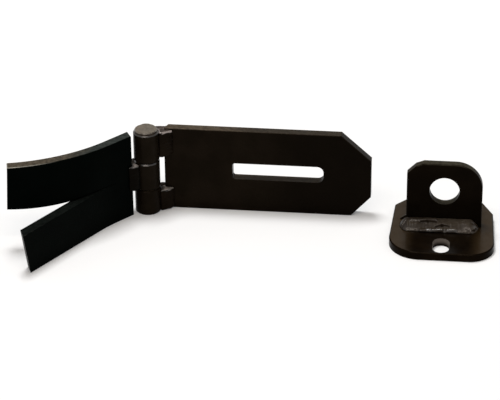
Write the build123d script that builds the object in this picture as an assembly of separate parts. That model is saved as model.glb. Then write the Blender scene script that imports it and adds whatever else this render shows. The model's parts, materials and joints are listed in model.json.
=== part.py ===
from build123d import *
import math
import os

# A welded padlock hasp with its staple. All sizes are in millimetres and degrees.
# The hinge axis is Z, the hasp plate runs along +X and the front of the plate faces -Y.
# Every piece stands on Z = 0, as the set does when it is stood on its long edge.

# Flat bar that the hasp plate and the wall leaf are cut from
BAR_WIDTH = 50.0
BAR_THICKNESS = 6.0
BAR_EDGE_ROUND = 0.6

# Hinge barrel: three knuckles on one pin, which is welded in at both ends
KNUCKLE_DIAMETER = 14.4
KNUCKLE_RIM_BREAK = 0.6
BOTTOM_KNUCKLE_LENGTH = 15.2
MIDDLE_KNUCKLE_LENGTH = 16.3
KNUCKLE_GAP = 0.5
PIN_DIAMETER = 8.0
PIN_PLAY = 0.05
PIN_WELD_DEPTH = 2.0
PIN_WELD_RISE = 1.4
PIN_WELD_SLOPE = 1.0

# Hasp plate: slotted, cut to a blunt tip, and held off the barrel by its welds
PLATE_REACH = 125.0
PLATE_SETBACK = 3.5
PLATE_GAP = 2.2
PLATE_END_SKEW = 2.0
UPPER_CUT_LENGTH = 16.8
UPPER_CUT_HEIGHT = 15.3
LOWER_CUT_LENGTH = 11.0
LOWER_CUT_HEIGHT = 12.1
SLOT_TIP_WALL = 26.5
SLOT_END_PLAY = 4.75
SLOT_SIDE_PLAY = 2.5
SLOT_ROOT_CORNER = 1.5
SLOT_TIP_CORNER = 3.6

# Wall leaf: whole at the hinge, then split into two tails that spread apart
LEAF_HEADING = 49.5
LEAF_SETBACK = 0.7
LEAF_GAP = 3.1
LEAF_END_SKEW = 2.4
LEAF_ROOT = 12.0
SPLIT_KERF = 0.6
UPPER_TOP_LENGTH = 62.0
UPPER_TOP_STRAIGHT = 2.0
UPPER_TOP_BEND = 36.0
UPPER_FOOT_LENGTH = 64.5
UPPER_FOOT_STRAIGHT = 18.0
UPPER_FOOT_BEND = 45.0
LOWER_TAIL_LENGTH = 70.4
LOWER_TAIL_BEND = 8.5
LOWER_BEND_RADIUS = 90.0
LOWER_END_SKEW = 35.0
LOWER_END_RAKE = 8.0

# Weld beads at the hinge: legs along the flat bar, angles round the barrel, rise of the crown
PLATE_FRONT_LEG = 5.2
PLATE_FRONT_WRAP = 13.0
PLATE_BACK_LEG = 4.0
PLATE_BACK_WRAP = 80.0
LEAF_FRONT_LEG = 3.0
LEAF_FRONT_WRAP = 16.0
LEAF_BACK_LEG = 4.0
LEAF_BACK_WRAP = 75.0
BEAD_CROWN = 0.9
BEAD_INSET = 0.3
BEAD_END_ROUND = 1.5
TOP_BEAD_RISE = 0.6

# Staple: a base plate with two slotted fixing holes and an ear with the shackle hole
STAPLE_GAP = 11.4
STAPLE_SETBACK = 11.3
BASE_WIDTH = 58.8
BASE_DEPTH = 59.4
BASE_THICKNESS = 4.5
BASE_TAPER = 2.0
BASE_LEFT_ROUND = 17.0
BASE_RIGHT_ROUND = 14.0
BASE_CUT_WIDTH = 6.3
BASE_LEFT_CUT = 7.1
BASE_RIGHT_CUT = 12.9
BASE_CORNER_ROUND = 1.5
BASE_EDGE_BREAK = 0.6
FIXING_WIDTH = 9.0
FIXING_LENGTH = 15.2
FIXING_MARGIN = 1.0
EAR_WIDTH = 41.5
EAR_HEIGHT = 38.2
EAR_THICKNESS = 5.0
EAR_SETBACK = 0.7
EAR_SHIFT = 0.45
EAR_CUT_WIDTH = 4.7
EAR_CUT_HEIGHT = 4.8
EAR_BREAK_WIDTH = 4.5
EAR_BREAK_HEIGHT = 1.8
EAR_ROUND = 15.0
EAR_EDGE_BREAK = 0.5
SHACKLE_DIAMETER = 16.5
SHACKLE_HEIGHT = 21.7

# Fillet welds along the two sides of the ear's foot
EAR_BEAD_FRONT_RUN = 8.5
EAR_BEAD_BACK_RUN = 4.5
EAR_BEAD_RISE = 5.0
EAR_BEAD_OVERRUN = 3.5
EAR_BEAD_SHORTFALL = 1.5

# The most of a wall that a rounded corner or a broken edge may take
ROUND_SHARE = 0.48

# Sizes that follow from the ones above
knuckle_radius = KNUCKLE_DIAMETER / 2
bore_radius = PIN_DIAMETER / 2 + PIN_PLAY
rim_break = min(KNUCKLE_RIM_BREAK, ROUND_SHARE * (knuckle_radius - bore_radius))
middle_low = BOTTOM_KNUCKLE_LENGTH + KNUCKLE_GAP
middle_high = middle_low + MIDDLE_KNUCKLE_LENGTH
top_low = middle_high + KNUCKLE_GAP
plate_front_corner = Vector(knuckle_radius + PLATE_GAP, PLATE_SETBACK)
plate_back_corner = plate_front_corner + Vector(PLATE_END_SKEW, BAR_THICKNESS)
slot_length = EAR_WIDTH + 2 * SLOT_END_PLAY
slot_height = EAR_THICKNESS + 2 * SLOT_SIDE_PLAY
slot_centre = PLATE_REACH - SLOT_TIP_WALL - slot_length / 2
leaf_front_corner = Vector(knuckle_radius + LEAF_GAP, -LEAF_SETBACK)
leaf_back_corner = leaf_front_corner - Vector(LEAF_END_SKEW, BAR_THICKNESS)
leaf_split = Vector(leaf_front_corner.X + LEAF_ROOT, -LEAF_SETBACK - BAR_THICKNESS / 2)
staple_x = PLATE_REACH + STAPLE_GAP + BASE_WIDTH / 2
fixing_spacing = BASE_DEPTH - 2 * FIXING_MARGIN - FIXING_LENGTH
ear_back = EAR_SETBACK + EAR_THICKNESS


def on_knuckle(degrees):
    """Point on the barrel's outside, at an angle from the plate's direction."""
    return Vector(knuckle_radius, 0).rotate(Axis.Z, degrees)


def knuckle_arc(first, last):
    """Stretch of the barrel's outside between two angles."""
    return ThreePointArc(on_knuckle(first), on_knuckle((first + last) / 2), on_knuckle(last))


def weld_bead(toe_a, toe_b, root, far_side, length):
    """Weld bead along +Z: a section crowned away from its root, with its two ends rounded off."""
    chord = (toe_b - toe_a).normalized()
    chord_middle = (toe_a + toe_b) / 2
    away = chord_middle - root
    outward = (away - chord * away.dot(chord)).normalized()
    crown = chord_middle + outward * BEAD_CROWN
    section = make_face([ThreePointArc(toe_a, crown, toe_b), *far_side])
    bead = extrude(section, length, dir=(0, 0, 1))
    reach = (crown - root).dot(outward)
    spread = (toe_a - toe_b).length
    side_view = Plane(root, x_dir=outward, z_dir=outward.cross(Vector(0, 0, 1)))
    end_round = min(BEAD_END_ROUND, ROUND_SHARE * length)
    envelope = Pos(reach - spread, length / 2) * RectangleRounded(2 * spread, length, end_round)
    return bead & extrude(side_view * envelope, 2 * spread, both=True)


def knuckle(low, high):
    """One tube of the barrel, with its outer rims broken."""
    tube = Cylinder(knuckle_radius, high - low, align=(Align.CENTER, Align.CENTER, Align.MIN))
    tube = chamfer(tube.edges().filter_by(GeomType.CIRCLE), rim_break)
    tube -= Cylinder(bore_radius, high - low, align=(Align.CENTER, Align.CENTER, Align.MIN))
    return Pos(0, 0, low) * tube


def hinge_pin():
    """Pin that stops short of both ends of the barrel, where it is welded in."""
    length = BAR_WIDTH - 2 * PIN_WELD_DEPTH
    pin = Cylinder(PIN_DIAMETER / 2, length, align=(Align.CENTER, Align.CENTER, Align.MIN))
    return Pos(0, 0, PIN_WELD_DEPTH) * pin


def pin_weld_top():
    """Weld that fills the barrel's upper mouth and lies over its end as a low flat cap."""
    cap_radius = knuckle_radius - rim_break
    outline = Polyline(
        (0, PIN_WELD_RISE),
        (0, -PIN_WELD_DEPTH),
        (bore_radius, -PIN_WELD_DEPTH),
        (bore_radius, 0),
        (cap_radius, 0),
        (cap_radius - PIN_WELD_SLOPE, PIN_WELD_RISE),
        close=True,
    )
    profile = Plane.XZ * make_face(outline)
    return Pos(0, 0, BAR_WIDTH) * revolve(profile, Axis.Z)


def pin_weld_bottom():
    """Weld that fills the barrel's lower mouth, flush with its end."""
    return Cylinder(bore_radius, PIN_WELD_DEPTH, align=(Align.CENTER, Align.CENTER, Align.MIN))


def plate_blank():
    """Hasp plate before it is cut: a length of bar with a blunt tip, rounded edges and a skew end."""
    outline = Polyline(
        (plate_front_corner.X, 0),
        (PLATE_REACH - LOWER_CUT_LENGTH, 0),
        (PLATE_REACH, LOWER_CUT_HEIGHT),
        (PLATE_REACH, BAR_WIDTH - UPPER_CUT_HEIGHT),
        (PLATE_REACH - UPPER_CUT_LENGTH, BAR_WIDTH),
        (plate_front_corner.X, BAR_WIDTH),
        close=True,
    )
    face = Plane.XZ * make_face(outline)
    blank = Pos(0, PLATE_SETBACK, 0) * extrude(face, BAR_THICKNESS, dir=(0, 1, 0))
    face_edges = blank.faces().filter_by(Axis.Y).edges()
    rounded = [edge for edge in face_edges if edge.center().X > plate_back_corner.X]
    blank = fillet(rounded, BAR_EDGE_ROUND)
    end_line = plate_back_corner - plate_front_corner
    end_cut = Plane(plate_front_corner, z_dir=end_line.rotate(Axis.Z, -90))
    return split(blank, bisect_by=end_cut, keep=Keep.TOP)


def plate_slot():
    """Cutter for the slot that the staple's ear comes through."""
    outline = Rectangle(slot_length, slot_height)
    ends = outline.vertices().group_by(Axis.X)
    largest = ROUND_SHARE * slot_height
    outline = fillet(ends[0], min(SLOT_ROOT_CORNER, largest))
    ends = outline.vertices().group_by(Axis.X)
    outline = fillet(ends[-1], min(SLOT_TIP_CORNER, largest))
    face = Plane.XZ * Pos(slot_centre, BAR_WIDTH / 2) * outline
    return Pos(0, PLATE_SETBACK, 0) * extrude(face, BAR_THICKNESS, dir=(0, 1, 0))


def hasp_plate():
    """Swinging plate of the hasp."""
    return plate_blank() - plate_slot()


def gap_bead(corner, other_corner, leg, barrel_angle, low, high):
    """Bead that fills half the gap between the barrel and the end of a bar, on the side of one corner."""
    toe = corner + Vector(leg, 0)
    end_middle = (corner + other_corner) / 2
    middle_angle = math.degrees(math.atan2(end_middle.Y, end_middle.X))
    inner = on_knuckle(middle_angle)
    far_side = [
        knuckle_arc(barrel_angle, middle_angle),
        Line(inner, end_middle),
        Line(end_middle, corner),
        Line(corner, toe),
    ]
    return Pos(0, 0, low) * weld_bead(toe, on_knuckle(barrel_angle), inner, far_side, high - low)


def plate_bead_front(low, high):
    """Bead between an outer knuckle and the front of the hasp plate."""
    return gap_bead(plate_front_corner, plate_back_corner, PLATE_FRONT_LEG, -PLATE_FRONT_WRAP, low, high)


def plate_bead_back(low, high):
    """Bead between an outer knuckle and the back of the hasp plate."""
    return gap_bead(plate_back_corner, plate_front_corner, PLATE_BACK_LEG, PLATE_BACK_WRAP, low, high)


def turned_to_leaf(shape):
    """Turn a shape from the plate's line to the leaf's own heading."""
    return Rot(0, 0, 180 + LEAF_HEADING) * shape


def leaf_root():
    """Unsplit end of the leaf, cut a little askew towards the barrel."""
    split_front = Vector(leaf_split.X, leaf_front_corner.Y)
    split_back = Vector(leaf_split.X, leaf_back_corner.Y)
    outline = Polyline(leaf_front_corner, leaf_back_corner, split_back, split_front, close=True)
    return extrude(make_face(outline), BAR_WIDTH, dir=(0, 0, 1))


def upper_tail_plan(length, straight, bend):
    """Plan of the upper tail at one level: a straight run off the root, then an arc to the back."""
    radius = (length - straight) / math.radians(bend)
    front_start = leaf_split + Vector(0, BAR_THICKNESS / 2)
    back_start = leaf_split - Vector(0, BAR_THICKNESS / 2)
    front_run = Line(front_start, front_start + Vector(straight, 0))
    back_run = Line(back_start, back_start + Vector(straight, 0))
    front_arc = JernArc(front_run @ 1, (1, 0), radius + BAR_THICKNESS / 2, -bend)
    back_arc = JernArc(back_run @ 1, (1, 0), radius - BAR_THICKNESS / 2, -bend)
    ends = [Line(front_start, back_start), Line(front_arc @ 1, back_arc @ 1)]
    return make_face([front_run, front_arc, back_run, back_arc, *ends])


def upper_tail():
    """Upper tail, bent back: its foot starts to bend later than its top edge, so it twists a little."""
    foot = upper_tail_plan(UPPER_FOOT_LENGTH, UPPER_FOOT_STRAIGHT, UPPER_FOOT_BEND)
    top = upper_tail_plan(UPPER_TOP_LENGTH, UPPER_TOP_STRAIGHT, UPPER_TOP_BEND)
    foot_level = (BAR_WIDTH + SPLIT_KERF) / 2
    return loft([Pos(0, 0, foot_level) * foot, Pos(0, 0, BAR_WIDTH) * top], ruled=True)


def lower_tail():
    """Lower tail, bent a little forward near the root, with its far end cut askew."""
    height = (BAR_WIDTH - SPLIT_KERF) / 2
    path = JernArc(leaf_split, (1, 0), LOWER_BEND_RADIUS, LOWER_TAIL_BEND)
    heading = path % 1
    straight = LOWER_TAIL_LENGTH - path.length
    end = path @ 1 + heading * straight
    path += Line(path @ 1, end + heading * BAR_THICKNESS)
    tail = extrude(trace(path, BAR_THICKNESS), height, dir=(0, 0, 1))
    facing = heading.rotate(Axis.Z, -LOWER_END_SKEW) - Vector(0, 0, math.sin(math.radians(LOWER_END_RAKE)))
    end_cut = Plane(end + Vector(0, 0, height / 2), z_dir=facing)
    return split(tail, bisect_by=end_cut, keep=Keep.BOTTOM)


def fishtail_leaf():
    """Wall leaf: the root at the hinge, with the upper tail bent back and the lower one forward."""
    leaf = leaf_root() + upper_tail() + lower_tail()
    levels = leaf.edges().filter_by_position(Axis.Z, 0, 0)
    levels += leaf.edges().filter_by_position(Axis.Z, BAR_WIDTH, BAR_WIDTH)
    return turned_to_leaf(fillet(levels, BAR_EDGE_ROUND))


def leaf_bead(corner, other_corner, leg, barrel_angle):
    """Bead between the middle knuckle and one face of the leaf."""
    low = middle_low + BEAD_INSET
    high = middle_high - BEAD_INSET
    return turned_to_leaf(gap_bead(corner, other_corner, leg, barrel_angle, low, high))


def on_staple(shape, height):
    """Set a shape from the staple's own centre into its place, at a height above the ground."""
    return Pos(staple_x, -STAPLE_SETBACK, height) * shape


def staple_base():
    """Base plate of the staple: rounded front corners, cut back corners and two slotted fixing holes."""
    half_front = BASE_WIDTH / 2
    half_back = half_front - BASE_TAPER
    half_depth = BASE_DEPTH / 2
    front_left = (-half_front, -half_depth)
    front_right = (half_front, -half_depth)
    outline = Polyline(
        front_left,
        front_right,
        (half_back, half_depth - BASE_RIGHT_CUT),
        (half_back - BASE_CUT_WIDTH, half_depth),
        (BASE_CUT_WIDTH - half_back, half_depth),
        (-half_back, half_depth - BASE_LEFT_CUT),
        close=True,
    )
    face = make_face(outline)
    face = fillet([corner for corner in face.vertices() if corner.Y > 0], BASE_CORNER_ROUND)
    largest = ROUND_SHARE * min(BASE_WIDTH, BASE_DEPTH)
    for place, radius in ((front_left, BASE_LEFT_ROUND), (front_right, BASE_RIGHT_ROUND)):
        corner = face.vertices().sort_by_distance(place)[0]
        face = fillet(corner, min(radius, largest))
    base = extrude(face, BASE_THICKNESS, dir=(0, 0, 1))
    base = chamfer(base.edges().filter_by_position(Axis.Z, BASE_THICKNESS, BASE_THICKNESS), BASE_EDGE_BREAK)
    fixing = SlotOverall(FIXING_LENGTH, FIXING_WIDTH, rotation=90)
    for side in (-1, 1):
        place = Pos(0, side * fixing_spacing / 2)
        base -= extrude(place * fixing, BASE_THICKNESS, dir=(0, 0, 1))
    return on_staple(base, 0)


def staple_ear():
    """Upright ear: one top corner cut in two flats, the other ground round, and the shackle hole."""
    half = EAR_WIDTH / 2
    flats_meet = (EAR_CUT_WIDTH - half, EAR_HEIGHT - EAR_BREAK_HEIGHT)
    outline = Polyline(
        (-half, 0),
        (half, 0),
        (half, EAR_HEIGHT),
        (EAR_CUT_WIDTH + EAR_BREAK_WIDTH - half, EAR_HEIGHT),
        flats_meet,
        (-half, EAR_HEIGHT - EAR_BREAK_HEIGHT - EAR_CUT_HEIGHT),
        close=True,
    )
    face = make_face(outline)
    round_corner = face.vertices().sort_by_distance((half, EAR_HEIGHT))[0]
    face = fillet(round_corner, EAR_ROUND)
    ear = extrude(Plane.XZ * face, EAR_THICKNESS, dir=(0, 1, 0))
    face_edges = ear.faces().filter_by(Axis.Y).edges()
    arrises = [edge for edge in face_edges if edge.center().Z > EAR_EDGE_BREAK]
    ear = chamfer(arrises, EAR_EDGE_BREAK)
    hole = Plane.XZ * Pos(0, SHACKLE_HEIGHT) * Circle(SHACKLE_DIAMETER / 2)
    ear -= extrude(hole, EAR_THICKNESS, dir=(0, 1, 0))
    return on_staple(Pos(EAR_SHIFT, EAR_SETBACK) * ear, BASE_THICKNESS)


def ear_bead(face_y, run):
    """Fillet weld along the foot of one face of the ear; run is signed, away from the ear."""
    corner = Vector(face_y, 0)
    base_toe = Vector(face_y + run, 0)
    ear_toe = Vector(face_y, EAR_BEAD_RISE)
    start = EAR_SHIFT - EAR_WIDTH / 2 - EAR_BEAD_OVERRUN
    length = EAR_WIDTH + EAR_BEAD_OVERRUN - EAR_BEAD_SHORTFALL
    far_side = [Line(ear_toe, corner), Line(corner, base_toe)]
    bead = weld_bead(base_toe, ear_toe, corner, far_side, length)
    return on_staple(Plane.YZ * Pos(0, 0, start) * bead, BASE_THICKNESS)


bottom_bead = (BEAD_INSET, BOTTOM_KNUCKLE_LENGTH - BEAD_INSET)
top_bead = (top_low + BEAD_INSET, BAR_WIDTH + TOP_BEAD_RISE)

pieces = {
    "fishtail_leaf": fishtail_leaf(),
    "middle_knuckle": knuckle(middle_low, middle_high),
    "leaf_weld_front": leaf_bead(leaf_front_corner, leaf_back_corner, LEAF_FRONT_LEG, LEAF_FRONT_WRAP),
    "leaf_weld_back": leaf_bead(leaf_back_corner, leaf_front_corner, LEAF_BACK_LEG, -LEAF_BACK_WRAP),
    "hasp_plate": hasp_plate(),
    "top_knuckle": knuckle(top_low, BAR_WIDTH),
    "bottom_knuckle": knuckle(0, BOTTOM_KNUCKLE_LENGTH),
    "hinge_pin": hinge_pin(),
    "pin_weld_top": pin_weld_top(),
    "pin_weld_bottom": pin_weld_bottom(),
    "top_weld_front": plate_bead_front(*top_bead),
    "top_weld_back": plate_bead_back(*top_bead),
    "bottom_weld_front": plate_bead_front(*bottom_bead),
    "bottom_weld_back": plate_bead_back(*bottom_bead),
    "staple_base": staple_base(),
    "staple_ear": staple_ear(),
    "ear_weld_front": ear_bead(EAR_SETBACK, -EAR_BEAD_FRONT_RUN),
    "ear_weld_back": ear_bead(ear_back, EAR_BEAD_BACK_RUN),
}

os.makedirs("parts", exist_ok=True)
for name, shape in pieces.items():
    export_step(shape, f"parts/{name}.step")
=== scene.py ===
"""Looks of a welded padlock hasp and its staple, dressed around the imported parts."""

import json
import logging
import math
from dataclasses import dataclass, replace
from enum import Enum
from typing import Any

import bpy
import numpy as np
from mathutils import Matrix, Vector


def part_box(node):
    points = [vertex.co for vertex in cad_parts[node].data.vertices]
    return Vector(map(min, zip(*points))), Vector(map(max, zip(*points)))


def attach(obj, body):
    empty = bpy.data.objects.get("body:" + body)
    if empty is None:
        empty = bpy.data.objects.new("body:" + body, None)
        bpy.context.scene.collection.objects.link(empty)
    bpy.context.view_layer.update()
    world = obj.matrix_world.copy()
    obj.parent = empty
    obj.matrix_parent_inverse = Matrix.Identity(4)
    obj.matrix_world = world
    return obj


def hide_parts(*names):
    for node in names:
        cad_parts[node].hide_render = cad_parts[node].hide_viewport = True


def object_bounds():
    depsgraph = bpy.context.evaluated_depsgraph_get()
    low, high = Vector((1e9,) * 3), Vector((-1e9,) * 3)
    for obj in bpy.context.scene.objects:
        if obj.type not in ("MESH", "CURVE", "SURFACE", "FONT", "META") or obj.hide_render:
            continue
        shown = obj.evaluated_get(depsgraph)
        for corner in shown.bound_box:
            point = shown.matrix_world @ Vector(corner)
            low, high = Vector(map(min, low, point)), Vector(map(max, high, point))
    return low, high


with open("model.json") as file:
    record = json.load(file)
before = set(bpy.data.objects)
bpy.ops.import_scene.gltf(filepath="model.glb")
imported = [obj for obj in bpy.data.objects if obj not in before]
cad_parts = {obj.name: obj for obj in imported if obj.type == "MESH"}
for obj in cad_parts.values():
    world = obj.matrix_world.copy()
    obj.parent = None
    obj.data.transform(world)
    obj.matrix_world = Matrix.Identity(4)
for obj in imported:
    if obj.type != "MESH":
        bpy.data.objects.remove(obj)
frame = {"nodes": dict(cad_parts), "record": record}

CAD_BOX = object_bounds()
MM = 0.001
# A coordinate in metres that lies past every piece.
BEYOND = 1.0
BEVEL_SAMPLES = 6
WHITE = (1.0, 1.0, 1.0)
LOG = logging.getLogger("hasp")

Colour = tuple[float, float, float]
Place = tuple[float, float, float]
Spot = tuple[float, float]
Span = tuple[float, float]
Socket = bpy.types.NodeSocket
Sockets = bpy.types.bpy_prop_collection
Feed = Socket | float | tuple[float, ...]


class Body(Enum):
    """Bodies that a piece can ride on."""

    WALL_SIDE = "wall_side"
    HASP = "hasp"


class Slot(Enum):
    """Material slots of the record that new pieces use."""

    WELD_PAINT = "weld_paint"


class Lay(Enum):
    """Direction that a weld bead was laid in, as the index of its axis."""

    SIDEWAYS = 0
    UPWARD = 2


@dataclass(frozen=True)
class Cloud:
    """Noise of a finish: patches to the metre, finer layers and their strength, and the spread of values."""

    scale: float
    detail: float
    roughness: float = 0.55
    reads: Span = (0.0, 1.0)
    gives: Span = (0.0, 1.0)


class NodeSheet:
    """A shader node tree with short calls to add nodes and to join them."""

    # Places of the colour sockets on a mix node, whose sockets share their names.
    MIX_FACTOR = 0
    MIX_FIRST = 6
    MIX_SECOND = 7
    MIX_RESULT = 2

    def __init__(self, tree: bpy.types.NodeTree) -> None:
        """Take over a node tree.

        Args:
            tree: Tree of a material, a world or a node group.
        """
        self.tree = tree

    def add(self, kind: str, values: dict[str, Feed] | None = None, **settings: Any) -> bpy.types.Node:
        """Add one node.

        Args:
            kind: Node type, without the ShaderNode prefix.
            values: Input names with a plain value or an output socket to join to each.
            settings: Properties of the node itself.

        Returns:
            The new node.
        """
        node = self.tree.nodes.new("ShaderNode" + kind)
        for name, setting in settings.items():
            setattr(node, name, setting)
        for name, value in (values or {}).items():
            self.feed(node.inputs[name], value)
        return node

    def feed(self, socket: Socket, value: Feed) -> None:
        """Give an input socket a plain value, or join an output socket to it.

        Args:
            socket: Input to fill.
            value: Number, colour or output socket.
        """
        if isinstance(value, Socket):
            self.tree.links.new(value, socket)
        elif isinstance(value, tuple) and len(value) == 3 and socket.type == "RGBA":
            socket.default_value = (*value, 1.0)
        else:
            socket.default_value = value

    def spread(self, value: Feed, low: Feed, high: Feed, to_low: Feed = 0.0, to_high: Feed = 1.0) -> Socket:
        """Map a value smoothly from one range to another.

        Args:
            value: Output socket to map.
            low: Start of the range that is read, a number or an output socket.
            high: End of the range that is read, a number or an output socket.
            to_low: Result at the start.
            to_high: Result at the end.

        Returns:
            Output socket of the mapped value.
        """
        limits = {"From Min": low, "From Max": high, "To Min": to_low, "To Max": to_high}
        node = self.add("MapRange", {"Value": value, **limits}, interpolation_type="SMOOTHSTEP")
        return node.outputs["Result"]

    def math(self, operation: str, *terms: Feed) -> Socket:
        """Combine values by one operation.

        Args:
            operation: Name of the operation, such as MULTIPLY.
            terms: Numbers or output sockets, as many as the operation takes.

        Returns:
            Output socket of the result.
        """
        node = self.add("Math", operation=operation)
        for socket, term in zip(node.inputs, terms):
            self.feed(socket, term)
        return node.outputs[0]

    def product(self, first: Feed, *others: Feed) -> Socket:
        """Multiply values.

        Args:
            first: Number or output socket.
            others: Numbers or output sockets.

        Returns:
            Output socket of the product.
        """
        result = first
        for other in others:
            result = self.math("MULTIPLY", result, other)
        return result

    def blend(self, factor: Feed, first: Feed, second: Feed) -> Socket:
        """Mix two colours.

        Args:
            factor: Share of the second colour.
            first: Colour or output socket.
            second: Colour or output socket.

        Returns:
            Output socket of the mixed colour.
        """
        node = self.add("Mix", data_type="RGBA")
        self.feed(node.inputs[self.MIX_FACTOR], factor)
        self.feed(node.inputs[self.MIX_FIRST], first)
        self.feed(node.inputs[self.MIX_SECOND], second)
        return node.outputs[self.MIX_RESULT]

    def noise(self, vector: Socket, cloud: Cloud) -> Socket:
        """Add noise and give its value as it is.

        Args:
            vector: Output socket with coordinates.
            cloud: Kind of noise.

        Returns:
            Output socket of the noise value.
        """
        values = {"Scale": cloud.scale, "Detail": cloud.detail, "Roughness": cloud.roughness}
        return self.add("TexNoise", {"Vector": vector, **values}).outputs[0]

    def patches(self, vector: Socket, cloud: Cloud) -> Socket:
        """Add noise and spread its value over the cloud's range.

        Args:
            vector: Output socket with coordinates.
            cloud: Kind of noise.

        Returns:
            Output socket of the spread value.
        """
        return self.spread(self.noise(vector, cloud), *cloud.reads, *cloud.gives)

    def parts(self, vector: Socket) -> Sockets:
        """Split a vector.

        Args:
            vector: Output socket of the vector.

        Returns:
            Output sockets X, Y and Z.
        """
        return self.add("SeparateXYZ", {"Vector": vector}).outputs


class EffectGroup(NodeSheet):
    """Shader node group that several finishes share, with named inputs and outputs."""

    SOCKETS = {"value": "NodeSocketFloat", "colour": "NodeSocketColor"}

    def __init__(self, name: str, inputs: dict[str, str], outputs: dict[str, str]) -> None:
        """Make an empty group.

        Args:
            name: Name of the group.
            inputs: Input names with value or colour.
            outputs: Output names with value or colour.
        """
        super().__init__(bpy.data.node_groups.new(name, "ShaderNodeTree"))
        for label, kind in inputs.items():
            self.tree.interface.new_socket(label, in_out="INPUT", socket_type=self.SOCKETS[kind])
        for label, kind in outputs.items():
            self.tree.interface.new_socket(label, in_out="OUTPUT", socket_type=self.SOCKETS[kind])
        self.given = self.tree.nodes.new("NodeGroupInput").outputs
        self.results = self.tree.nodes.new("NodeGroupOutput").inputs

    def place(self, sheet: NodeSheet, values: dict[str, Feed]) -> Sockets:
        """Use the group in a material.

        Args:
            sheet: Node sheet of the material.
            values: Input names with plain values or output sockets.

        Returns:
            The outputs of the placed group.
        """
        node = sheet.tree.nodes.new("ShaderNodeGroup")
        node.node_tree = self.tree
        for name, value in values.items():
            sheet.feed(node.inputs[name], value)
        return node.outputs


@dataclass(frozen=True)
class SettledDustAndPaintedLight:
    """Effect of uneven paint, with dust and painted light on the faces that look up."""

    mottling: Cloud = Cloud(scale=70.0, detail=5.0, reads=(0.36, 0.66))
    wander: Cloud = Cloud(scale=60.0, detail=3.0)
    wander_reach: float = 24.0 * MM
    tilt_ease: float = 0.18
    foot_ease: float = 6.0 * MM
    foot_share: float = 0.19
    breaks: Cloud = Cloud(scale=420.0, detail=6.0, roughness=0.65, reads=(0.3, 0.68), gives=(0.35, 1.0))
    sheen: Cloud = Cloud(scale=260.0, detail=4.0, reads=(0.3, 0.7), gives=(0.8, 1.35))

    def build(self) -> EffectGroup:
        """Make the effect.

        Returns:
            Group with the paint's colour and roughness.
        """
        inputs = {
            "Paint": "colour",
            "Mottle": "colour",
            "Dust And Painted Light": "colour",
            "Stain And Highlight": "colour",
            "Dust And Painted Light Amount": "value",
            "Dust And Painted Light Tilt": "value",
            "Dust And Painted Light Foot": "value",
            "Drift Start": "value",
            "Drift End": "value",
            "Gloss Roughness": "value",
            "Dust And Painted Light Roughness": "value",
        }
        group = EffectGroup("settled_dust_and_painted_light", inputs, {"Colour": "colour", "Roughness": "value"})
        given = group.given
        coords = group.add("TexCoord").outputs
        place = group.parts(coords["Object"])
        upward = group.parts(coords["Normal"])["Z"]
        mottled = group.patches(coords["Object"], self.mottling)
        painted = group.blend(mottled, given["Paint"], given["Mottle"])
        wander = group.product(group.noise(coords["Object"], self.wander), self.wander_reach)
        along = group.math("ADD", place["X"], wander)
        drift = group.spread(along, given["Drift Start"], given["Drift End"])
        drifted = group.blend(drift, given["Dust And Painted Light"], given["Stain And Highlight"])
        thick = group.math("ADD", given["Dust And Painted Light Foot"], self.foot_ease)
        depth = group.spread(place["Z"], given["Dust And Painted Light Foot"], thick)
        top_dust_and_light_colour = group.blend(depth, given["Stain And Highlight"], drifted)
        # Dust and painted light: the faces that look up turn paler.
        level = group.math("ADD", given["Dust And Painted Light Tilt"], self.tilt_ease)
        lying = group.spread(upward, given["Dust And Painted Light Tilt"], level)
        share = group.spread(depth, 0.0, 1.0, self.foot_share, 1.0)
        broken = group.patches(coords["Object"], self.breaks)
        dust_and_painted_light = group.product(lying, share, broken, given["Dust And Painted Light Amount"])
        group.feed(group.results["Colour"], group.blend(dust_and_painted_light, painted, top_dust_and_light_colour))
        gloss = group.product(given["Gloss Roughness"], group.patches(coords["Object"], self.sheen))
        dulled = group.product(dust_and_painted_light, given["Dust And Painted Light Roughness"])
        group.feed(group.results["Roughness"], group.math("ADD", gloss, dulled))
        return group


@dataclass(frozen=True)
class WornAndHighlitArrises:
    """Effect of paint that is rubbed off sharp edges, with a painted highlight on round ones."""

    bend: Span = (0.015, 0.16)
    rubs: Cloud = Cloud(scale=240.0, detail=6.0, roughness=0.7, reads=(0.46, 0.68))
    round_start: Span = (0.35, 0.55)
    round_end: Span = (0.86, 0.97)
    highlight_patches: Cloud = Cloud(scale=120.0, detail=3.0, reads=(0.3, 0.6), gives=(0.6, 1.0))
    fade: float = 25.0 * MM

    def build(self) -> EffectGroup:
        """Make the effect.

        Returns:
            Group with the mask of the rubbed edges.
        """
        inputs = {"Reach": "value", "Amount": "value", "Round Highlight Amount": "value", "Wear And Highlight End": "value"}
        group = EffectGroup("worn_and_highlit_arrises", inputs, {"Mask": "value"})
        given = group.given
        coords = group.add("TexCoord").outputs
        upward = group.parts(coords["Normal"])["Z"]
        eased = group.add("Bevel", {"Radius": given["Reach"]}, samples=BEVEL_SAMPLES)
        turn = group.add("VectorMath", operation="DOT_PRODUCT")
        group.feed(turn.inputs[0], eased.outputs["Normal"])
        group.feed(turn.inputs[1], group.add("NewGeometry").outputs["Normal"])
        bent = group.math("SUBTRACT", 1.0, turn.outputs["Value"])
        rubbed = group.patches(coords["Object"], self.rubs)
        sharp = group.product(group.spread(bent, *self.bend), rubbed, given["Amount"])
        # Painted highlight on the round edges that lean between the two limits.
        lower = group.spread(upward, *self.round_start)
        upper = group.spread(upward, *self.round_end, 1.0, 0.0)
        highlit = group.patches(coords["Object"], self.highlight_patches)
        rounded = group.product(lower, upper, highlit, given["Round Highlight Amount"])
        fading = group.math("SUBTRACT", given["Wear And Highlight End"], self.fade)
        along = group.parts(coords["Object"])["X"]
        within = group.spread(along, fading, given["Wear And Highlight End"], 1.0, 0.0)
        group.feed(group.results["Mask"], group.product(group.math("MAXIMUM", sharp, rounded), within))
        return group


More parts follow.
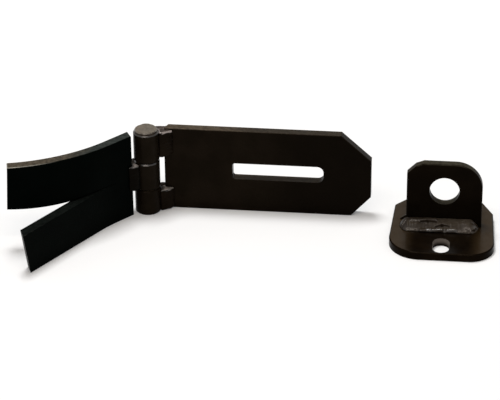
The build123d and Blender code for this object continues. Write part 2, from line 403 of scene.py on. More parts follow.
@dataclass(frozen=True)
class ThickGloss:
    """Effect of thick glossy paint, which gathers where the surface leans by a given amount."""

    lean_ease: float = 0.12
    level_ease: float = 0.07
    uneven: Cloud = Cloud(scale=180.0, detail=4.0, reads=(0.3, 0.6), gives=(0.6, 1.0))

    def build(self) -> EffectGroup:
        """Make the effect.

        Returns:
            Group with the mask of the thick paint.
        """
        inputs = {"Amount": "value", "Lean From": "value", "Lean To": "value"}
        group = EffectGroup("thick_gloss", inputs, {"Mask": "value"})
        coords = group.add("TexCoord").outputs
        upward = group.parts(coords["Normal"])["Z"]
        past = group.math("SUBTRACT", upward, group.given["Lean From"])
        short = group.math("SUBTRACT", group.given["Lean To"], upward)
        leaning = group.spread(past, -self.lean_ease, self.lean_ease)
        not_level = group.spread(short, -self.level_ease, self.level_ease)
        uneven = group.patches(coords["Object"], self.uneven)
        group.feed(group.results["Mask"], group.product(leaning, not_level, uneven, group.given["Amount"]))
        return group


@dataclass(frozen=True)
class RolledSkin:
    """Relief of painted rolled steel: drawn-out mill marks under a fine orange peel."""

    stretch: Place = (40.0, 130.0, 420.0)
    marks: Cloud = Cloud(scale=1.0, detail=5.0, roughness=0.6)
    peel: Cloud = Cloud(scale=900.0, detail=3.0, roughness=0.5)

    def build(self) -> EffectGroup:
        """Make the effect.

        Returns:
            Group with the height of the surface.
        """
        inputs = {"Mill Marks": "value", "Orange Peel": "value"}
        group = EffectGroup("rolled_skin", inputs, {"Height": "value"})
        coords = group.add("TexCoord").outputs["Object"]
        drawn = group.add("Mapping", {"Vector": coords, "Scale": self.stretch}).outputs["Vector"]
        marks = group.product(group.noise(drawn, self.marks), group.given["Mill Marks"])
        peel = group.product(group.noise(coords, self.peel), group.given["Orange Peel"])
        group.feed(group.results["Height"], group.math("ADD", marks, peel))
        return group


class EffectShelf:
    """All shared effects, each built once."""

    def __init__(self) -> None:
        """Build every effect."""
        self.dust_and_painted_light = SettledDustAndPaintedLight().build()
        self.wear_and_highlight = WornAndHighlitArrises().build()
        self.gloss = ThickGloss().build()
        self.skin = RolledSkin().build()


@dataclass(frozen=True)
class PaintFinish:
    """Glossy brown-black paint over steel.

    Dust and painted light lie above the foot on the faces that look up more than the tilt, and along drift
    they turn into the colour of stains and painted highlights. Edges are rubbed, and round edges carry a
    painted highlight, up to a given end along the piece. The shade comes in along shade_run on the
    faces that look up less than shade_tilt, and thick gloss gathers on those within gloss_lean.
    """

    name: str
    paint: Colour
    mottle: Colour
    dust_and_painted_light: Colour
    dust_and_painted_light_amount: float
    roughness: float
    specular: float
    tint: Colour = (1.0, 0.8, 0.6)
    stain_and_highlight: Colour = (0.04, 0.036, 0.026)
    drift: Span = (BEYOND, 1.1 * BEYOND)
    dust_and_painted_light_tilt: float = 0.8
    dust_and_painted_light_foot: float = -BEYOND
    dust_and_painted_light_roughness: float = 0.22
    wear_and_highlight_colour: Colour = (0.06, 0.05, 0.042)
    worn_amount: float = 0.0
    round_highlight: float = 0.0
    wear_and_highlight_end: float = BEYOND
    shade: Colour = (0.0, 0.0, 0.0)
    shade_amount: float = 0.0
    shade_run: Span = (0.0, BEYOND)
    shade_tilt: float = 0.3
    shade_ease: float = 0.2
    gloss: float = 0.0
    gloss_lean: Span = (0.42, 0.91)
    gloss_roughness: float = 0.18
    mill_marks: float = 0.5
    orange_peel: float = 0.35
    relief: float = 0.05 * MM
    edge_reach: float = 0.45 * MM
    edge_ease: float = 0.5 * MM

    def build(self, effects: EffectShelf) -> bpy.types.Material:
        """Make the material.

        Args:
            effects: Shared effects.

        Returns:
            The finished material.
        """
        material = bpy.data.materials.new(self.name)
        material.use_nodes = True
        sheet = NodeSheet(material.node_tree)
        shader = sheet.tree.nodes["Principled BSDF"].inputs
        dust_and_painted_light = effects.dust_and_painted_light.place(sheet, {
            "Paint": self.paint,
            "Mottle": self.mottle,
            "Dust And Painted Light": self.dust_and_painted_light,
            "Stain And Highlight": self.stain_and_highlight,
            "Dust And Painted Light Amount": self.dust_and_painted_light_amount,
            "Dust And Painted Light Tilt": self.dust_and_painted_light_tilt,
            "Dust And Painted Light Foot": self.dust_and_painted_light_foot,
            "Drift Start": self.drift[0],
            "Drift End": self.drift[1],
            "Gloss Roughness": self.roughness,
            "Dust And Painted Light Roughness": self.dust_and_painted_light_roughness,
        })
        wear_and_highlight = effects.wear_and_highlight.place(sheet, {
            "Reach": self.edge_reach,
            "Amount": self.worn_amount,
            "Round Highlight Amount": self.round_highlight,
            "Wear And Highlight End": self.wear_and_highlight_end,
        })
        # Rubbed edges, and a painted highlight on round edges where a finish asks for it.
        rubbed = sheet.blend(wear_and_highlight["Mask"], dust_and_painted_light["Colour"], self.wear_and_highlight_colour)
        sheet.feed(shader["Base Color"], self.bared_and_lit(sheet, self.shaded(sheet, rubbed)))
        sheet.feed(shader["Roughness"], dust_and_painted_light["Roughness"])
        shader["Specular IOR Level"].default_value = self.specular
        sheet.feed(shader["Specular Tint"], self.tint)
        if self.gloss:
            thick = effects.gloss.place(sheet, {
                "Amount": self.gloss,
                "Lean From": self.gloss_lean[0],
                "Lean To": self.gloss_lean[1],
            })
            sheet.feed(shader["Coat Weight"], self.gathered(sheet, thick["Mask"]))
            shader["Coat Roughness"].default_value = self.gloss_roughness
        skin = effects.skin.place(sheet, {
            "Mill Marks": self.mill_marks,
            "Orange Peel": self.orange_peel,
        })
        eased = sheet.add("Bevel", {"Radius": self.edge_ease}, samples=BEVEL_SAMPLES)
        bump = sheet.add("Bump", {"Height": skin["Height"], "Distance": self.relief})
        sheet.feed(bump.inputs["Normal"], eased.outputs["Normal"])
        sheet.feed(shader["Normal"], bump.outputs["Normal"])
        return material

    def shaded(self, sheet: NodeSheet, colour: Socket) -> Socket:
        """Darken the paint along the piece, on the faces that look up less than a given tilt.

        Args:
            sheet: Node sheet of the material.
            colour: Output socket of the painted colour.

        Returns:
            Output socket of the colour.
        """
        if not self.shade_amount:
            return colour
        coords = sheet.add("TexCoord").outputs
        along = sheet.spread(sheet.parts(coords["Object"])["X"], *self.shade_run, 0.0, self.shade_amount)
        tilt = (self.shade_tilt - self.shade_ease, self.shade_tilt + self.shade_ease)
        facing = sheet.spread(sheet.parts(coords["Normal"])["Z"], *tilt, 1.0, 0.0)
        return sheet.blend(sheet.product(along, facing), colour, self.shade)

    def bared_and_lit(self, sheet: NodeSheet, colour: Socket) -> Socket:
        """Show steel and painted light where a piece needs them, which is nowhere on most pieces.

        Args:
            sheet: Node sheet of the material.
            colour: Output socket of the painted colour.

        Returns:
            Output socket of the colour.
        """
        return colour

    def gathered(self, sheet: NodeSheet, mask: Socket) -> Socket:
        """Thicken the gloss where the paint has run together, which is nowhere on most pieces.

        Args:
            sheet: Node sheet of the material.
            mask: Output socket of the gloss on the whole piece.

        Returns:
            Output socket of the gloss.
        """
        return mask


@dataclass(frozen=True)
class SeamPaint(PaintFinish):
    """Paint of the staple's welds, run together along part of the front bead's toe."""

    crest_x: Span = (0.1570, 0.1745)
    crest_y: Span = (-0.0204, -0.0172)
    crest_ease: float = 0.6 * MM

    def gathered(self, sheet: NodeSheet, mask: Socket) -> Socket:
        """Thicken the gloss along the toe.

        Args:
            sheet: Node sheet of the material.
            mask: Output socket of the gloss on the whole piece.

        Returns:
            Output socket of the gloss.
        """
        place = sheet.parts(sheet.add("TexCoord").outputs["Object"])
        crest = 1.0
        for axis, (start, end) in (("X", self.crest_x), ("Y", self.crest_y)):
            rising = sheet.spread(place[axis], start, start + self.crest_ease)
            falling = sheet.spread(place[axis], end - self.crest_ease, end, 1.0, 0.0)
            crest = sheet.product(crest, rising, falling)
        return sheet.math("MAXIMUM", mask, crest)


@dataclass(frozen=True)
class BasePaint(PaintFinish):
    """Paint of the staple's base, scraped to the steel and painted lighter toward the top on the walls of
    the fixing slots, with a painted reflection along both sides.
    """

    lit_bare_wall: Colour = (0.17, 0.145, 0.125)
    lit_bare_wall_edge: float = 0.06 * MM
    lit_bare_wall_depth: Span = (0.1, 0.8)
    painted_reflection: Colour = (0.028, 0.0170, 0.0070)
    painted_reflection_run: Span = (14.0 * MM, 25.0 * MM)
    painted_reflection_tilt: Span = (0.7, 0.95)

    def bared_and_lit(self, sheet: NodeSheet, colour: Socket) -> Socket:
        """Show scraped steel on the upper walls of the fixing slots, with painted light that grows toward
        the top, and paint a reflection beside the ear.

        Args:
            sheet: Node sheet of the material.
            colour: Output socket of the painted colour.

        Returns:
            Output socket of the colour.
        """
        bolts = next(mount for mount in frame["record"]["mounts"] if mount["name"] == "base_bolts")
        centre_x, centre_y, top = bolts["pos_m"]
        radius = bolts["dims"]["hole_r_mm"] * MM
        straight = bolts["dims"]["slot_length_mm"] * MM / 2 - radius
        step = bolts["dims"]["spacing_y_mm"] * MM / 2
        place = sheet.parts(sheet.add("TexCoord").outputs["Object"])
        aside = sheet.math("SUBTRACT", place["X"], centre_x)
        apart = sheet.math("ABSOLUTE", sheet.math("SUBTRACT", place["Y"], centre_y))
        along = sheet.math("ABSOLUTE", sheet.math("SUBTRACT", apart, step))
        past = sheet.math("MAXIMUM", sheet.math("SUBTRACT", along, straight), 0.0)
        squares = sheet.math("ADD", sheet.product(aside, aside), sheet.product(past, past))
        away = sheet.math("SQRT", squares)
        wall = sheet.spread(away, radius + self.lit_bare_wall_edge, radius + 2 * self.lit_bare_wall_edge, 1.0, 0.0)
        # Painted light: the scraped wall turns paler toward the top.
        upper = sheet.spread(place["Z"], *(share * top for share in self.lit_bare_wall_depth))
        return sheet.blend(sheet.product(wall, upper), self.with_painted_reflection(sheet, aside, colour), self.lit_bare_wall)

    def with_painted_reflection(self, sheet: NodeSheet, aside: Socket, colour: Socket) -> Socket:
        """Paint a reflection of the white surround on the level margins of the base.

        Args:
            sheet: Node sheet of the material.
            aside: Output socket of the distance to the right of the ear's middle.
            colour: Output socket of the painted colour.

        Returns:
            Output socket of the colour.
        """
        # Painted reflection: the margins past the ear show the white surround, while the middle shows the
        # dark ear.
        margin = sheet.spread(sheet.math("ABSOLUTE", aside), *self.painted_reflection_run)
        upward = sheet.parts(sheet.add("TexCoord").outputs["Normal"])["Z"]
        level = sheet.spread(upward, *self.painted_reflection_tilt)
        return sheet.blend(sheet.product(margin, level), colour, self.painted_reflection)


@dataclass(frozen=True)
class DrawnSteel:
    """Bare drawn steel, with fine lines round the rod."""

    name: str
    colour: Colour = (0.42, 0.41, 0.40)
    dull: Colour = (0.24, 0.23, 0.22)
    stretch: Place = (900.0, 900.0, 40.0)
    lines: Cloud = Cloud(scale=1.0, detail=4.0, reads=(0.3, 0.7), gives=(0.25, 0.5))
    relief: float = 0.02 * MM

    def build(self) -> bpy.types.Material:
        """Make the material.

        Returns:
            The finished material.
        """
        material = bpy.data.materials.new(self.name)
        material.use_nodes = True
        sheet = NodeSheet(material.node_tree)
        shader = sheet.tree.nodes["Principled BSDF"].inputs
        coords = sheet.add("TexCoord").outputs["Object"]
        drawn = sheet.add("Mapping", {"Vector": coords, "Scale": self.stretch}).outputs["Vector"]
        lines = sheet.noise(drawn, self.lines)
        sheet.feed(shader["Base Color"], sheet.blend(lines, self.colour, self.dull))
        sheet.feed(shader["Roughness"], sheet.spread(lines, *self.lines.reads, *self.lines.gives))
        shader["Metallic"].default_value = 1.0
        bump = sheet.add("Bump", {"Height": lines, "Distance": self.relief})
        sheet.feed(shader["Normal"], bump.outputs["Normal"])
        return material


HASP_FINISH = PaintFinish(
    name="hasp_paint",
    paint=(0.0050, 0.0033, 0.0018),
    mottle=(0.0080, 0.0053, 0.0032),
    # The paler top edge is dust, and painted light on the top faces.
    dust_and_painted_light=(0.095, 0.072, 0.048),
    stain_and_highlight=(0.038, 0.030, 0.021),
    drift=(0.045, 0.075),
    dust_and_painted_light_amount=0.9,
    wear_and_highlight_colour=(0.050, 0.042, 0.034),
    worn_amount=0.35,
    roughness=0.26,
    specular=0.028,
    shade=(0.0016, 0.0010, 0.0005),
    shade_amount=0.75,
    shade_run=(0.050, 0.095),
)
# Lighter, glossier copy of the hasp paint for the top and middle knuckles, which is painted light; the
# bottom knuckle keeps the hasp paint.
KNUCKLE_FINISH = replace(
    HASP_FINISH,
    name="knuckle_paint",
    paint=(0.0062, 0.0044, 0.0026),
    mottle=(0.0098, 0.0069, 0.0044),
    gloss=1.0,
)
LEAF_FINISH = PaintFinish(
    name="leaf_paint",
    paint=(0.0004, 0.0009, 0.0006),
    mottle=(0.0007, 0.0013, 0.0009),
    # The paler top edges of the tails are dust, and painted light on the top faces.
    dust_and_painted_light=(0.105, 0.086, 0.062),
    stain_and_highlight=(0.040, 0.046, 0.042),
    drift=(-0.035, -0.010),
    dust_and_painted_light_amount=0.9,
    dust_and_painted_light_foot=0.040,
    # Pale edges near the tail's tip: rubbed paint, and a painted highlight on the round arrises.
    wear_and_highlight_colour=(0.420, 0.400, 0.340),
    worn_amount=0.4,
    round_highlight=1.0,
    wear_and_highlight_end=-0.040,
    roughness=0.3,
    specular=0.008,
    tint=(0.8, 1.0, 0.9),
)
EAR_FINISH = PaintFinish(
    name="ear_paint",
    paint=(0.0038, 0.0024, 0.0013),
    mottle=(0.0055, 0.0036, 0.0020),
    # The paler top strip is dust, and painted light on the top faces.
    dust_and_painted_light=(0.050, 0.044, 0.030),
    dust_and_painted_light_amount=0.85,
    dust_and_painted_light_tilt=0.6,
    wear_and_highlight_colour=(0.050, 0.046, 0.036),
    worn_amount=0.3,
    roughness=0.24,
    specular=0.012,
)
BASE_FINISH = BasePaint(
    name="base_paint",
    paint=(0.0028, 0.0015, 0.0006),
    mottle=(0.0055, 0.0030, 0.0012),
    dust_and_painted_light=(0.060, 0.044, 0.030),
    dust_and_painted_light_amount=0.02,
    dust_and_painted_light_roughness=0.05,
    wear_and_highlight_colour=(0.060, 0.052, 0.044),
    worn_amount=0.35,
    roughness=0.16,
    specular=0.018,
    gloss=0.15,
    gloss_lean=(0.85, 1.2),
    gloss_roughness=0.3,
    mill_marks=0.2,
)
WELD_FINISH = PaintFinish(
    name="weld_paint",
    paint=(0.0048, 0.0030, 0.0017),
    mottle=(0.0080, 0.0052, 0.0031),
    dust_and_painted_light=(0.020, 0.016, 0.012),
    # The bright colour along drift paints a highlight on the top end of the lower front weld.
    stain_and_highlight=(0.340, 0.300, 0.265),
    drift=(0.0200, 0.0220),
    dust_and_painted_light_amount=0.9,
    dust_and_painted_light_tilt=0.5,
    worn_amount=0.1,
    roughness=0.28,
    specular=0.028,
    gloss=0.8,
    gloss_roughness=0.2,
    mill_marks=0.0,
    orange_peel=0.4,
    edge_ease=0.2 * MM,
)
# Weld paint for the top welds, with a painted highlight along the front rim of each top end.
RIM_HIGHLIT_WELD_FINISH = replace(
    WELD_FINISH,
    name="rim_highlit_weld_paint",
    dust_and_painted_light=(0.068, 0.053, 0.044),
    drift=PaintFinish.drift,
    wear_and_highlight_colour=(0.260, 0.220, 0.200),
    round_highlight=0.9,
    gloss=1.0,
)
# Darker, less glossy copy of the weld paint for the back welds: painted shade.
SHADED_WELD_FINISH = replace(
    WELD_FINISH,
    name="shaded_weld_paint",
    dust_and_painted_light=(0.014, 0.010, 0.007),
    drift=PaintFinish.drift,
    gloss=0.2,
)
LEAF_WELD_FINISH = replace(
    WELD_FINISH,
    name="leaf_weld_paint",
    paint=(0.0012, 0.0011, 0.0008),
    mottle=(0.0022, 0.0018, 0.0013),
    # The bright colour along drift paints a highlight on the top end of the leaf's front weld.
    stain_and_highlight=(0.260, 0.230, 0.210),
    drift=(0.0065, 0.0080),
)
EAR_WELD_FINISH = SeamPaint(
    name="ear_weld_paint",
    paint=(0.020, 0.0130, 0.0085),
    mottle=(0.042, 0.031, 0.021),
    dust_and_painted_light=(0.050, 0.040, 0.029),
    # Along drift the top faces turn lighter toward the right end.
    stain_and_highlight=(0.072, 0.060, 0.046),
    drift=(0.1640, 0.1740),
    dust_and_painted_light_amount=0.7,
    dust_and_painted_light_tilt=0.78,
    dust_and_painted_light_roughness=0.1,
    shade=(0.005, 0.003, 0.0015),
    shade_amount=0.45,
    shade_run=(0.1620, 0.1540),
    shade_tilt=2.0,
    roughness=0.3,
    specular=0.04,
    gloss=0.45,
    gloss_lean=(0.35, 0.82),
    gloss_roughness=0.2,
    mill_marks=0.0,
    orange_peel=0.3,
    edge_ease=0.2 * MM,
)
PIN_WELD_FINISH = PaintFinish(
    name="pin_weld_paint",
    paint=(0.0100, 0.0072, 0.0052),
    mottle=(0.0200, 0.0140, 0.0100),
    # The pale top of the cap is dust, and painted light on its lit top.
    dust_and_painted_light=(0.152, 0.118, 0.090),
    stain_and_highlight=(0.128, 0.110, 0.086),
    drift=(-0.004, 0.014),
    dust_and_painted_light_amount=1.0,
    dust_and_painted_light_tilt=0.5,
    wear_and_highlight_colour=(0.090, 0.080, 0.070),
    worn_amount=0.2,
    roughness=0.3,
    specular=0.15,
    gloss=0.6,
    gloss_lean=(0.42, 0.85),
    mill_marks=0.0,
    orange_peel=0.6,
    edge_ease=0.3 * MM,
)


class FinishShelf:
    """All finishes of the object, each built once."""

    def __init__(self) -> None:
        """Build the shared effects and every finish on them."""
        effects = EffectShelf()
        self.hasp = HASP_FINISH.build(effects)
        self.knuckle = KNUCKLE_FINISH.build(effects)
        self.leaf = LEAF_FINISH.build(effects)
        self.ear = EAR_FINISH.build(effects)
        self.base = BASE_FINISH.build(effects)
        self.weld = WELD_FINISH.build(effects)
        self.rim_highlit_weld = RIM_HIGHLIT_WELD_FINISH.build(effects)
        self.shaded_weld = SHADED_WELD_FINISH.build(effects)
        self.leaf_weld = LEAF_WELD_FINISH.build(effects)
        self.ear_weld = EAR_WELD_FINISH.build(effects)
        self.pin_weld = PIN_WELD_FINISH.build(effects)
        self.pin = DrawnSteel("pin_steel").build()


def paint_node(node: str, material: bpy.types.Material) -> None:
    """Give a CAD node its finish.

    Args:
        node: Name of the node.
        material: Finish to put in its slot.
    """
    mesh = frame["nodes"][node].data
    mesh.materials.clear()
    mesh.materials.append(material)
    LOG.info("painted %s with %s", node, material.name)


@dataclass(frozen=True)
class WeldMark:
    """A ridge on a weld, or a groove where its rise is below zero, seen from above and in millimetres."""

    start: Spot
    end: Spot
    radius: float
    rise: float

    def move(self, places: np.ndarray) -> np.ndarray:
        """Work out how far the mark moves each point of the skin.

        Args:
            places: Points in millimetres, one to a row.

        Returns:
            Moves along the normals, in millimetres.
        """
        start = np.array(self.start)
        line = np.array(self.end) - start
        share = np.clip((places[:, :2] - start) @ line / (line @ line), 0.0, 1.0)
        reach = np.linalg.norm(places[:, :2] - start - share[:, None] * line, axis=1) / self.radius
        return self.rise * np.clip(1.0 - reach**2, 0.0, 1.0) ** 2


@dataclass(frozen=True)
class WeldBead:
    """Weld bead that stands for the plain bead of one CAD node, with sizes in millimetres."""

    node: str
    body: Body
    lay: Lay
    joint: float = 0.001
    skin: float = 0.26
    swell: float = 0.55
    ease: int = 50
    softness: float = 0.5
    ends: Span = (0.0, 0.0)
    end_round: float = 0.0
    end_slope: float = 0.0
    round_share: float = 0.96
    slope_share: float = 0.9
    root: Spot = (0.0, 0.0)
    pitch: float = 1.9
    ripple: float = 0.12
    bow: float = 0.7
    sway: float = 0.22
    sway_rate: float = 1.7
    marks: tuple[WeldMark, ...] = ()
    mark_slope: float = 3.0
    lump: float = 0.45
    lump_size: float = 2.6
    grit: float = 0.05
    grit_size: float = 0.6
    cloud_layers: int = 2

    @property
    def across(self) -> list[int]:
        """Give the indices of the two axes across the bead."""
        return [axis for axis in range(3) if axis != self.lay.value]

    def build(self, material: bpy.types.Material) -> bpy.types.Object:
        """Model the bead, dress it and set it on its body.

        Args:
            material: Finish of the bead.

        Returns:
            The finished bead.
        """
        bead = self.copied_bead()
        self.modify(bead, "REMESH", mode="VOXEL", voxel_size=self.skin * MM)
        self.modify(bead, "DISPLACE", strength=self.swell * MM, mid_level=0.0)
        self.modify(bead, "SMOOTH", factor=self.softness, iterations=self.ease)
        self.draw_in(bead)
        if self.end_round:
            self.round_ends(bead)
        self.lay_ripples(bead)
        self.roughen(bead, self.lump, self.lump_size)
        self.roughen(bead, self.grit, self.grit_size)
        self.modify(bead, "SMOOTH", factor=self.softness, iterations=1)
        self.keep_in_box(bead)
        bpy.ops.object.shade_smooth()
        bead.data.materials.clear()
        bead.data.materials.append(material)
        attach(bead, self.body.value)
        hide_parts(self.node)
        LOG.info("laid %s: %d faces", bead.name, len(bead.data.polygons))
        return bead

    def copied_bead(self) -> bpy.types.Object:
        """Copy the CAD bead and join its loose triangles.

        Returns:
            The copy, active and selected.
        """
        bpy.ops.object.select_all(action="DESELECT")
        mesh = frame["nodes"][self.node].data.copy()
        bead = bpy.data.objects.new(self.node + "_bead", mesh)
        bpy.context.scene.collection.objects.link(bead)
        bead.select_set(True)
        bpy.context.view_layer.objects.active = bead
        bpy.ops.object.mode_set(mode="EDIT")
        bpy.ops.mesh.select_all(action="SELECT")
        bpy.ops.mesh.remove_doubles(threshold=self.joint * MM)
        bpy.ops.object.mode_set(mode="OBJECT")
        return bead

    @staticmethod
    def modify(bead: bpy.types.Object, kind: str, **settings: Any) -> None:
        """Add one modifier and apply it.

        Args:
            bead: Active object.
            kind: Type of the modifier.
            settings: Properties of the modifier.
        """
        modifier = bead.modifiers.new(kind.lower(), kind)
        for name, setting in settings.items():
            setattr(modifier, name, setting)
        bpy.ops.object.modifier_apply(modifier=modifier.name)

    @staticmethod
    def read_skin(bead: bpy.types.Object, what: str) -> np.ndarray:
        """Read one vector of every point of the bead's skin.

        Args:
            bead: Bead to read.
            what: Name of the vector, co or normal.

        Returns:
            The vectors, one to a row.
        """
        vectors = np.empty(len(bead.data.vertices) * 3)
        bead.data.vertices.foreach_get(what, vectors)
        return vectors.reshape(-1, 3)

    @staticmethod
    def move_skin(bead: bpy.types.Object, places: np.ndarray) -> None:
        """Move every point of the bead's skin.

        Args:
            bead: Bead to change.
            places: New points in metres, one to a row.
        """
        bead.data.vertices.foreach_set("co", places.ravel())
        bead.data.update()

    def draw_in(self, bead: bpy.types.Object) -> None:
        """Draw both ends of the bead in along its length.

        Args:
            bead: Bead with a dense skin.
        """
        places = self.read_skin(bead, "co")
        along = places[:, self.lay.value]
        low, high = along.min(), along.max()
        start = low + self.ends[0] * MM
        end = high - self.ends[1] * MM
        places[:, self.lay.value] = start + (along - low) * (end - start) / (high - low)
        self.move_skin(bead, places)

    def round_ends(self, bead: bpy.types.Object) -> None:
        """Round both ends of the bead seen from above, and slope them down to its root.

        Args:
            bead: Bead with a dense skin, laid sideways.
        """
        places = self.read_skin(bead, "co")
        along = places[:, self.lay.value]
        inside = np.minimum(along - along.min(), along.max() - along) / MM
        rounding = 1.0 - np.clip(inside / self.end_round, 0.0, 1.0)
        sloping = 1.0 - np.clip(inside / self.end_slope, 0.0, 1.0)
        shares = (np.sqrt(1.0 - self.round_share * rounding**2), 1.0 - self.slope_share * sloping**2)
        for axis, root, share in zip(self.across, self.root, shares):
            places[:, axis] = root + (places[:, axis] - root) * share
        self.move_skin(bead, places)

    def lay_ripples(self, bead: bpy.types.Object) -> None:
        """Sink the valleys between the ripples, and press the marks into the faces that look up.

        Args:
            bead: Bead with a dense skin.
        """
        places = self.read_skin(bead, "co")
        normals = self.read_skin(bead, "normal")
        along = self.lay.value
        low, high = places.min(axis=0), places.max(axis=0)
        off = (places - (low + high) / 2)[:, self.across] / ((high - low)[self.across] / 2)
        run = (places[:, along] - low[along]) / (self.pitch * MM)
        run = run + self.sway * np.sin(run * self.sway_rate) + self.bow * (off**2).sum(axis=1)
        share = run - np.floor(run)
        move = -self.ripple * (2 * share - 1) ** 2
        open_side = np.clip(self.mark_slope * normals[:, 2], 0.0, 1.0)
        for mark in self.marks:
            move = move + open_side * mark.move(places / MM)
        self.move_skin(bead, places + normals * move[:, None] * MM)

    def roughen(self, bead: bpy.types.Object, depth: float, size: float) -> None:
        """Sink the surface unevenly.

        Args:
            bead: Active bead.
            depth: Deepest hollow, in millimetres.
            size: Size of the hollows, in millimetres.
        """
        cloud = bpy.data.textures.new("weld_cloud", "CLOUDS")
        cloud.noise_scale = size * MM
        cloud.noise_depth = self.cloud_layers
        sinking = {"strength": depth * MM, "mid_level": 1.0}
        self.modify(bead, "DISPLACE", texture=cloud, texture_coords="LOCAL", **sinking)
        bpy.data.textures.remove(cloud)

    def keep_in_box(self, bead: bpy.types.Object) -> None:
        """Keep the bead off the ground and inside the object's box.

        Args:
            bead: Finished bead.
        """
        low, high = (np.array(corner) for corner in CAD_BOX)
        self.move_skin(bead, np.clip(self.read_skin(bead, "co"), low, high))


@dataclass
class HaspSwing:
    """Swinging side of the hasp: slotted plate, outer knuckles, pin and their welds."""

    plate: str = "hasp_plate"
    top_knuckle: str = "top_knuckle"
    bottom_knuckle: str = "bottom_knuckle"
    pin: str = "hinge_pin"
    top_front_seam: WeldBead = WeldBead("top_weld_front", Body.HASP, Lay.UPWARD, ends=(1.2, 1.0))
    top_back_seam: WeldBead = WeldBead("top_weld_back", Body.HASP, Lay.UPWARD, ends=(1.2, 1.6))
    low_front_seam: WeldBead = WeldBead("bottom_weld_front", Body.HASP, Lay.UPWARD, ends=(0.0, 1.6))
    low_back_seam: WeldBead = WeldBead("bottom_weld_back", Body.HASP, Lay.UPWARD, ends=(0.0, 1.6))
    top_cap: WeldBead = WeldBead(
        node="pin_weld_top",
        body=Body.HASP,
        lay=Lay.UPWARD,
        swell=0.7,
        ease=10,
        ripple=0.0,
        lump=0.9,
        lump_size=4.0,
    )
    bottom_cap: WeldBead = replace(top_cap, node="pin_weld_bottom")

    def build(self, finishes: FinishShelf) -> None:
        """Dress the swinging side.

        Args:
            finishes: Finishes of the object.
        """
        paint_node(self.plate, finishes.hasp)
        paint_node(self.top_knuckle, finishes.knuckle)
        paint_node(self.bottom_knuckle, finishes.hasp)
        paint_node(self.pin, finishes.pin)
        # The top welds get painted rim highlights, the lower front weld a painted highlight on its top end,
        # and the lower back weld painted shade.
        self.top_front_seam.build(finishes.rim_highlit_weld)
        self.top_back_seam.build(finishes.rim_highlit_weld)
        self.low_front_seam.build(finishes.weld)
        self.low_back_seam.build(finishes.shaded_weld)
        self.top_cap.build(finishes.pin_weld)
        self.bottom_cap.build(finishes.pin_weld)


@dataclass
class WallLeaf:
    """Wall side of the hasp: split leaf, middle knuckle and their welds."""

    leaf: str = "fishtail_leaf"
    knuckle: str = "middle_knuckle"
    front_seam: WeldBead = WeldBead("leaf_weld_front", Body.WALL_SIDE, Lay.UPWARD)
    back_seam: WeldBead = WeldBead("leaf_weld_back", Body.WALL_SIDE, Lay.UPWARD)

    def build(self, finishes: FinishShelf) -> None:
        """Dress the wall side.

        Args:
            finishes: Finishes of the object.
        """
        paint_node(self.leaf, finishes.leaf)
        paint_node(self.knuckle, finishes.knuckle)
        # The front weld gets a painted highlight on its top end, the back weld painted shade.
        self.front_seam.build(finishes.leaf_weld)
        self.back_seam.build(finishes.shaded_weld)


@dataclass
class Staple:
    """Staple: base plate, upright ear and the welds along its foot."""

    base: str = "staple_base"
    ear: str = "staple_ear"
    back_seam: WeldBead = WeldBead(
        node="ear_weld_back",
        body=Body.WALL_SIDE,
        lay=Lay.SIDEWAYS,
        swell=0.2,
        ease=14,
        end_round=9.0,
        end_slope=9.0,
        ripple=0.06,
        lump=0.35,
        lump_size=5.0,
        grit=0.03,
    )
    front_marks: tuple[WeldMark, ...] = (
        WeldMark(start=(148.4, -12.9), end=(162.1, -12.3), radius=1.5, rise=0.5),
        WeldMark(start=(154.0, -14.3), end=(157.6, -13.7), radius=0.75, rise=-1.1),
        WeldMark(start=(157.6, -13.7), end=(162.2, -14.1), radius=0.75, rise=-1.1),
        WeldMark(start=(176.9, -11.8), end=(182.4, -11.8), radius=1.5, rise=0.35),
        WeldMark(start=(154.0, -18.6), end=(165.7, -18.0), radius=1.5, rise=0.7),
        WeldMark(start=(160.5, -18.3), end=(165.7, -18.0), radius=1.2, rise=0.7),
        WeldMark(start=(168.5, -18.0), end=(173.0, -17.8), radius=1.4, rise=0.9),
        WeldMark(start=(162.5, -17.0), end=(165.5, -15.9), radius=0.9, rise=-1.0),
        WeldMark(start=(165.5, -15.9), end=(169.0, -16.3), radius=0.9, rise=-1.0),
        WeldMark(start=(147.2, -11.0), end=(143.4, -15.6), radius=0.9, rise=-0.8),
        WeldMark(start=(178.5, -13.6), end=(182.0, -16.6), radius=3.6, rise=0.5),
        WeldMark(start=(184.9, -14.4), end=(184.1, -16.4), radius=0.9, rise=-0.6),
        WeldMark(start=(184.1, -16.4), end=(182.5, -17.8), radius=0.9, rise=-0.6),
    )
    front_seam: WeldBead = replace(
        back_seam,
        node="ear_weld_front",
        end_round=5.0,
        end_slope=5.5,
        marks=front_marks,
    )

    def build(self, finishes: FinishShelf) -> None:
        """Dress the staple, with its welds rooted at the foot of the ear.

        Args:
            finishes: Finishes of the object.
        """
        paint_node(self.base, finishes.base)
        paint_node(self.ear, finishes.ear)
        low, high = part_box(self.ear)
        replace(self.back_seam, root=(high.y, low.z)).build(finishes.ear_weld)
        replace(self.front_seam, root=(low.y, low.z)).build(finishes.ear_weld)


@dataclass(frozen=True)
class SoftBox:
    """Rectangular lamp with a soft front."""

    name: str
    place: Place
    size: Span
    power: float
    colour: Colour = WHITE

    def build(self, target: Vector) -> None:
        """Hang the lamp and turn it to the object.

        Args:
            target: Point that the lamp faces.
        """
        lamp = bpy.data.lights.new(self.name, "AREA")
        lamp.shape = "RECTANGLE"
        lamp.size, lamp.size_y = self.size
        lamp.energy = self.power
        lamp.color = self.colour
        holder = bpy.data.objects.new(self.name, lamp)
        holder.location = self.place
        holder.rotation_euler = (target - Vector(self.place)).to_track_quat("-Z", "Y").to_euler()
        bpy.context.scene.collection.objects.link(holder)


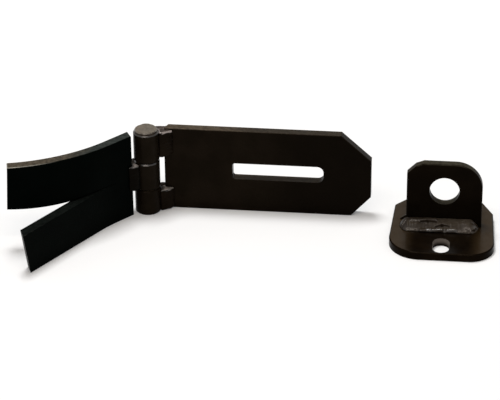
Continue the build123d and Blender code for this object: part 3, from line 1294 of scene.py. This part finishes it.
@dataclass
class Studio:
    """White studio: floor, surround, lamps and the camera at the photograph's angle."""

    floor_size: float = 8.0
    floor_colour: Colour = (0.86, 0.86, 0.86)
    lift_run: Span = (0.15, 0.80)
    lift: Span = (0.10, 0.60)
    surround: float = 0.35
    image_width: int = 500
    focal_pixels: float = 2400.0
    sensor: float = 36.0
    camera_place: Place = (0.1936, -1.1625, 0.6680)
    azimuth: float = 6.67
    elevation: float = 29.38
    roll: float = -0.59
    lamps: tuple[SoftBox, ...] = (
        SoftBox("overhead_box", (-0.10, 0.16, 1.30), (0.36, 0.36), 11.3),
        SoftBox("front_strip", (0.05, -0.62, 1.05), (1.0, 0.08), 2.8, (1.0, 0.88, 0.77)),
    )

    def build(self) -> None:
        """Set up the whole studio."""
        self.lay_floor()
        self.light_surround()
        low, high = CAD_BOX
        for lamp in self.lamps:
            lamp.build((low + high) / 2)
        self.set_camera()
        bpy.context.scene.view_settings.view_transform = "Standard"

    @staticmethod
    def seen(sheet: NodeSheet) -> Socket:
        """Tell whether a ray shows the surround, straight or in gloss or glass.

        Args:
            sheet: Node sheet of the floor or of the world.

        Returns:
            Output socket that is 1 for such a ray.
        """
        rays = sheet.add("LightPath").outputs
        gloss = sheet.math("MAXIMUM", rays["Is Glossy Ray"], rays["Is Transmission Ray"])
        return sheet.math("MAXIMUM", rays["Is Camera Ray"], gloss)

    def lay_floor(self) -> None:
        """Lay the floor, white to the eye where no shadow falls."""
        bpy.ops.object.select_all(action="DESELECT")
        bpy.ops.mesh.primitive_plane_add(size=self.floor_size)
        floor = bpy.context.active_object
        floor.name = "floor"
        material = bpy.data.materials.new("floor_white")
        material.use_nodes = True
        sheet = NodeSheet(material.node_tree)
        shader = sheet.tree.nodes["Principled BSDF"].inputs
        sheet.feed(shader["Base Color"], self.floor_colour)
        shader["Roughness"].default_value = 1.0
        shader["Specular IOR Level"].default_value = 0.0
        sheet.feed(shader["Emission Color"], WHITE)
        low, high = CAD_BOX
        away = sheet.add("VectorMath", operation="DISTANCE")
        sheet.feed(away.inputs[0], sheet.add("TexCoord").outputs["Object"])
        sheet.feed(away.inputs[1], tuple((low + high) / 2))
        lift = sheet.spread(away.outputs["Value"], *self.lift_run, *self.lift)
        sheet.feed(shader["Emission Strength"], sheet.product(self.seen(sheet), lift))
        floor.data.materials.append(material)

    def light_surround(self) -> None:
        """Make the surround white to the eye and a soft light to the object."""
        world = bpy.data.worlds.new("white_surround")
        world.use_nodes = True
        bpy.context.scene.world = world
        sheet = NodeSheet(world.node_tree)
        background = sheet.tree.nodes["Background"].inputs
        sheet.feed(background["Color"], WHITE)
        sheet.feed(background["Strength"], sheet.spread(self.seen(sheet), 0.0, 1.0, self.surround, 1.0))

    def set_camera(self) -> None:
        """Set the camera at the photograph's angle."""
        lens = bpy.data.cameras.new("camera")
        lens.sensor_width = self.sensor
        lens.lens = self.focal_pixels / self.image_width * self.sensor
        holder = bpy.data.objects.new("camera", lens)
        turn = Matrix.Rotation(math.radians(self.azimuth), 4, "Z")
        tilt = Matrix.Rotation(math.radians(90 - self.elevation), 4, "X")
        lean = Matrix.Rotation(math.radians(self.roll), 4, "Z")
        holder.matrix_world = Matrix.Translation(self.camera_place) @ turn @ tilt @ lean
        bpy.context.scene.collection.objects.link(holder)
        bpy.context.scene.camera = holder


def main() -> None:
    """Dress the object and set up the studio."""
    logging.basicConfig(level=logging.INFO, format="%(message)s")
    finishes = FinishShelf()
    for assembly in (HaspSwing(), WallLeaf(), Staple()):
        assembly.build(finishes)
    Studio().build()


if __name__ == "__main__":
    main()
